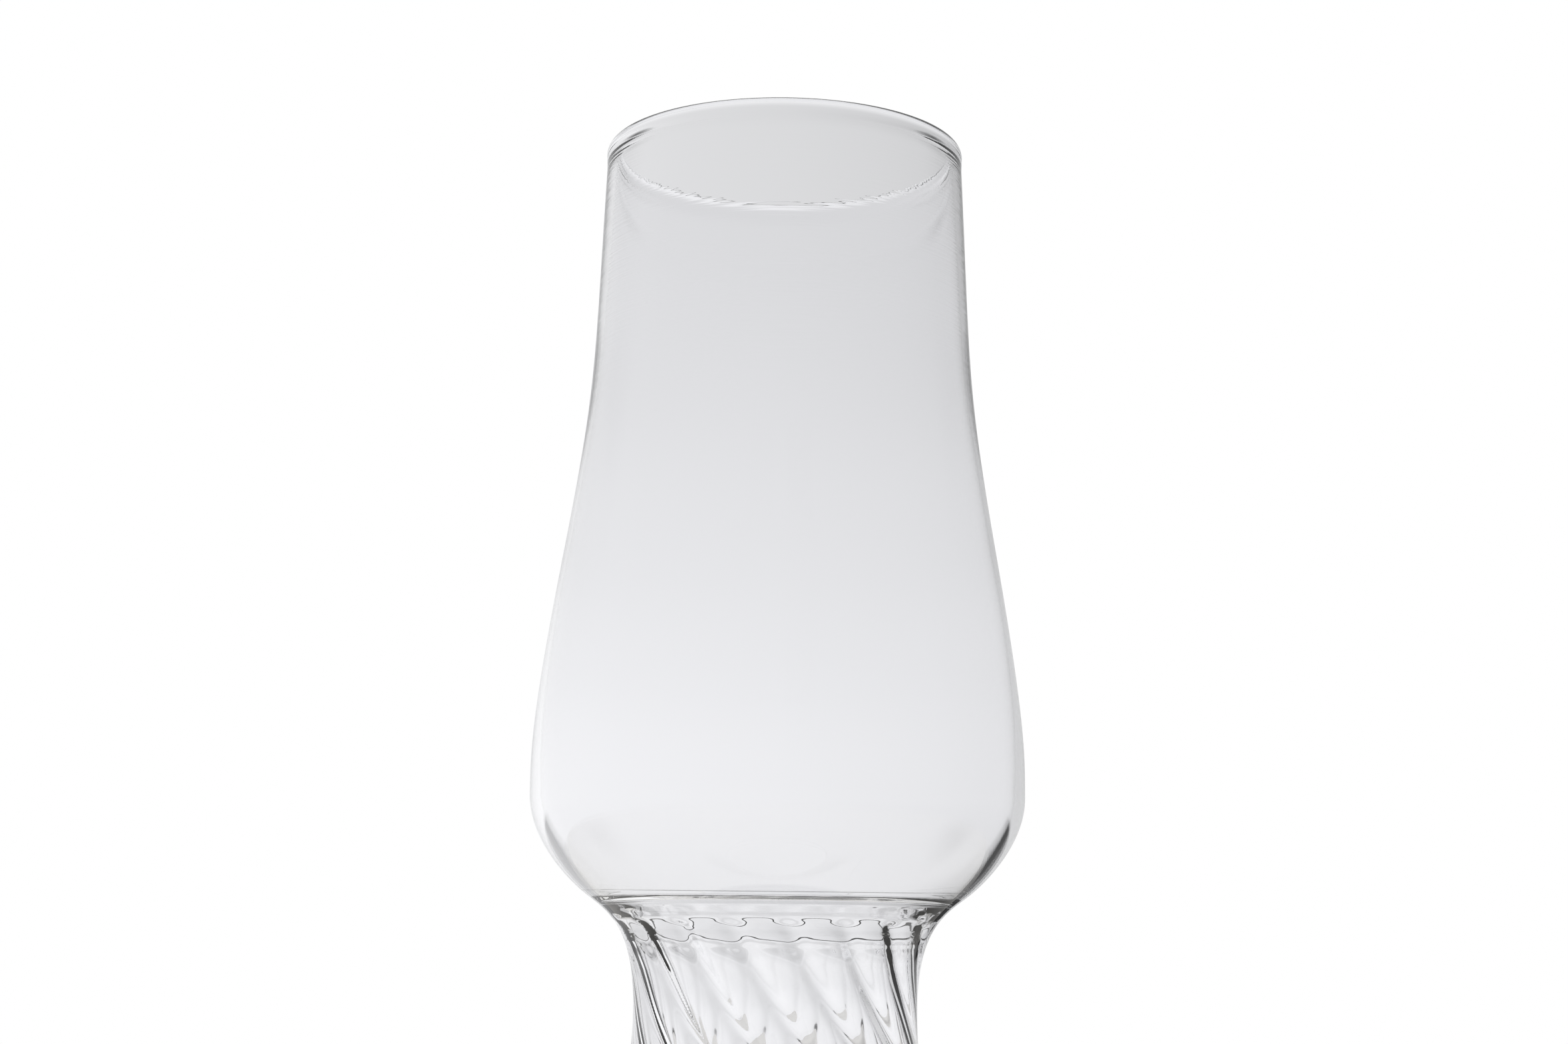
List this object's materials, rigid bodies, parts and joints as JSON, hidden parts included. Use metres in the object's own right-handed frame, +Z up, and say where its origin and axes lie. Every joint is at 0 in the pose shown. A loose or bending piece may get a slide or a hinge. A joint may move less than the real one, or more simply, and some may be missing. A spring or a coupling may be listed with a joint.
{
  "type": "beer glass",
  "caption": "Clear beer glass: a tall bowl, widest low down, on a waisted hollow base with twisted inner ribs and a solid round foot; it stands on its foot and is filled from the mouth.",
  "frame": {"origin": "on the table, under the middle of the foot", "axes": "+Z up along the glass's axis towards the mouth; the glass is round, so X and Y are free"},
  "size_m": [0.084, 0.084, 0.1884],
  "materials": {
    "clear_glass": "clear, colourless, fire-polished"
  },
  "bodies": {
    "root": {"bowl": "clear_glass", "twisted_base": "clear_glass", "foot": "clear_glass"}
  },
  "joints": []
}
